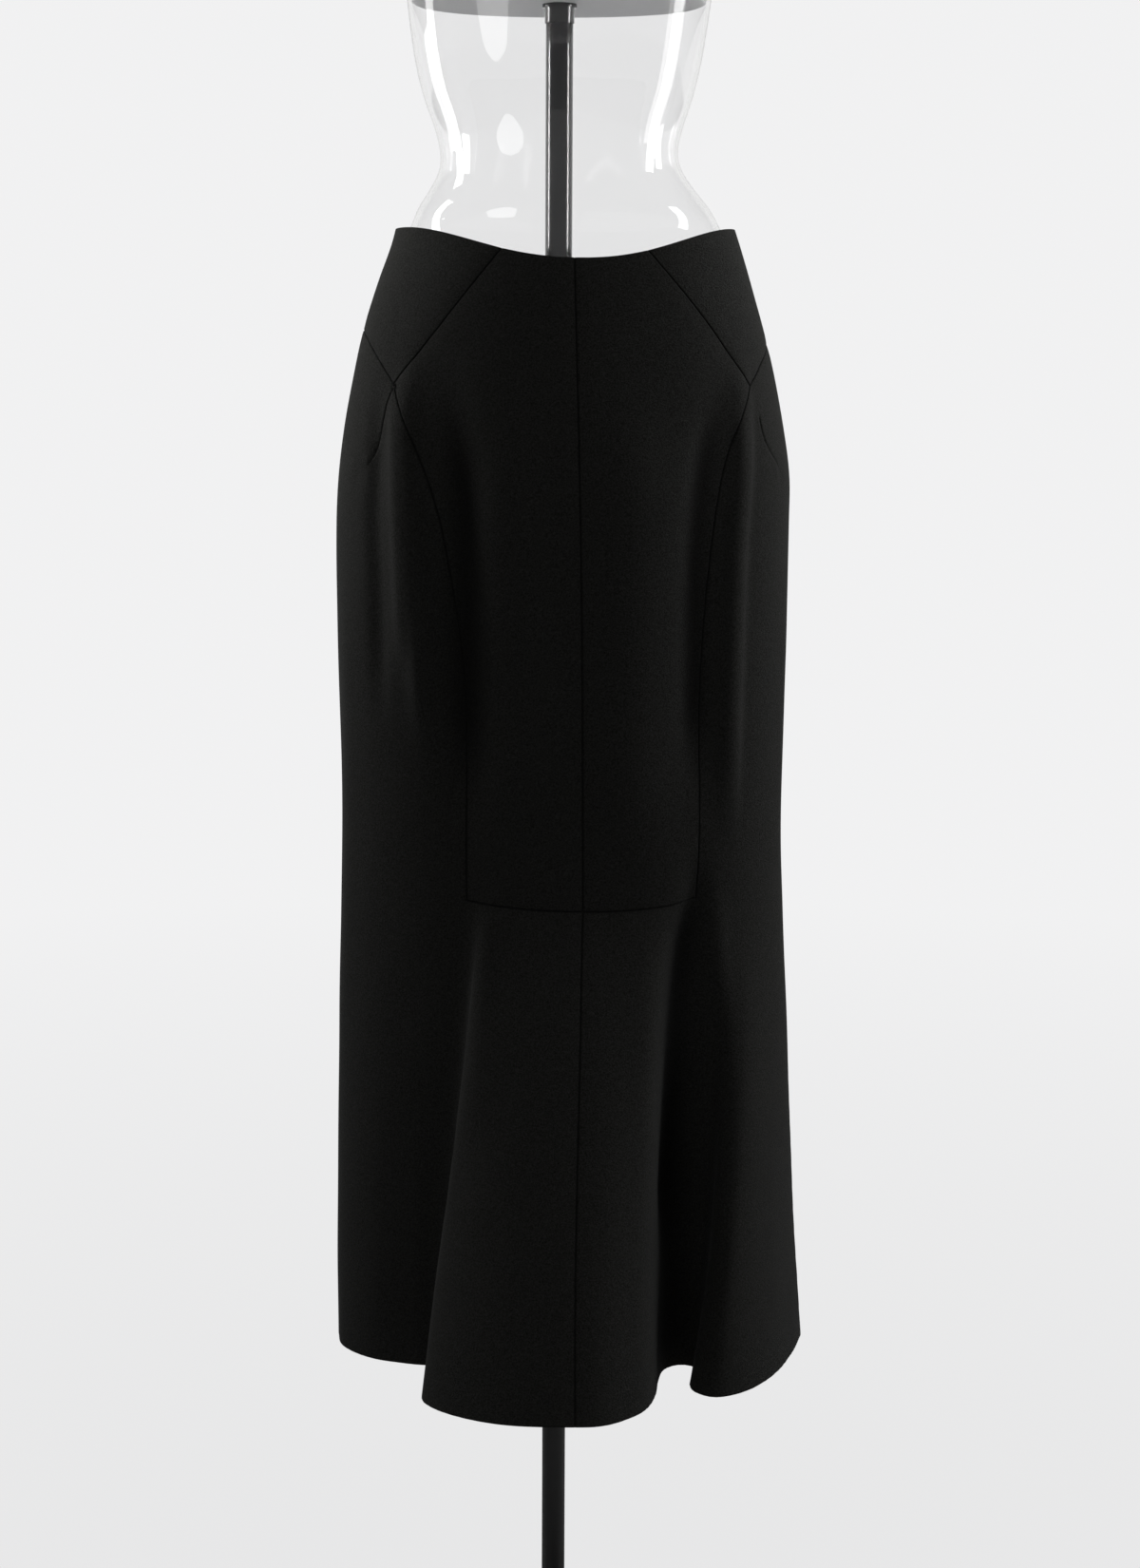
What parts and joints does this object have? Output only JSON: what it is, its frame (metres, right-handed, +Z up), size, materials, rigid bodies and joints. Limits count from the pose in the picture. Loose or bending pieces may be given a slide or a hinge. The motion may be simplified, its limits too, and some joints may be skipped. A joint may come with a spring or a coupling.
{
  "type": "maxi skirt on a dress form",
  "caption": "Long panelled skirt in felted wool with a flared, folded lower back, worn by a clear limbless dress form on a pole with a round base.",
  "frame": {"origin": "centre of the base's underside, on the axis of the pole and on the floor", "axes": "+Z up along the pole; the back of the skirt faces -Y and its front faces +Y; +X is the wearer's right"},
  "size_m": [0.424, 0.404, 1.806],
  "materials": {
    "wool": "dense felted wool, matt with a faint nap",
    "clear_plastic": "clear moulded plastic, glossy",
    "plate": "matt grey sheet",
    "gloss_paint": "gloss black paint",
    "satin_paint": "satin black paint"
  },
  "bodies": {
    "root": {"back_upper_left": "wool", "back_upper_right": "wool", "hip_yoke_left": "wool", "hip_yoke_right": "wool", "side_panel_left": "wool", "side_panel_right": "wool", "front_panel": "wool", "dress_form_back": "clear_plastic", "dress_form_front": "clear_plastic", "support_plate": "plate", "pole_socket": "gloss_paint", "pole_upper": "gloss_paint", "pole_collar": "satin_paint", "pole_lower": "satin_paint", "base": "satin_paint"}
  },
  "joints": []
}
